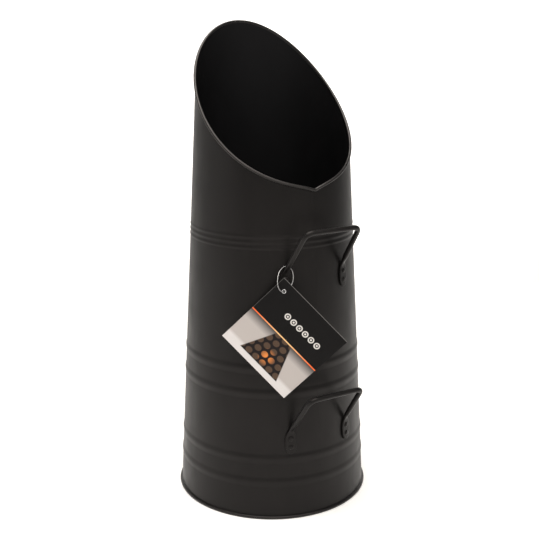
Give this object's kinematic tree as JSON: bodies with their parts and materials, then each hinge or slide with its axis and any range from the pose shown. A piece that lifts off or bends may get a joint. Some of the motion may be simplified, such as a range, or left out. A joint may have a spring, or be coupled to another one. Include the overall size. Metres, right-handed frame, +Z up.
{
  "type": "coal hod",
  "caption": "Tall tapered sheet-steel coal hod with a slanted rolled mouth, swaged beads, riveted rod handles on its low side and a card tag on a wire loop.",
  "frame": {"origin": "centre of the ring-shaped face that the hod stands on", "axes": "+Z up along the barrel, -Y towards the V of the mouth and the handles, +X to the right seen from the handles' side"},
  "size_m": [0.2104, 0.239, 0.5074],
  "materials": {
    "black_steel": "satin",
    "rim_wire": "satin",
    "card": "matte",
    "eyelet": "polished",
    "loop_wire": "satin"
  },
  "bodies": {
    "hod": {"barrel": "black_steel", "mouth_roll": "black_steel", "mouth_wire": "rim_wire", "base_pan": "black_steel", "upper_handle": "black_steel", "lower_handle": "black_steel", "upper_left_rivets": "black_steel", "upper_right_rivets": "black_steel", "lower_left_rivets": "black_steel", "lower_right_rivets": "black_steel"},
    "loop": {"tag_loop": "loop_wire"},
    "tag": {"tag_card": "card", "tag_eyelet": "eyelet"}
  },
  "joints": [
    {"name": "ring_swing", "type": "hinge", "parent": "hod", "child": "loop", "pos_m": [-0.0322, -0.08305, 0.26947], "axis": [-0.9324, 0.3615, 0], "range_deg": [0, 65]},
    {"name": "tag_sway", "type": "hinge", "parent": "loop", "child": "tag", "pos_m": [-0.0402, -0.09295, 0.24727], "axis": [-0.6427, -0.7661, 0], "range_deg": [-35, 35]}
  ]
}
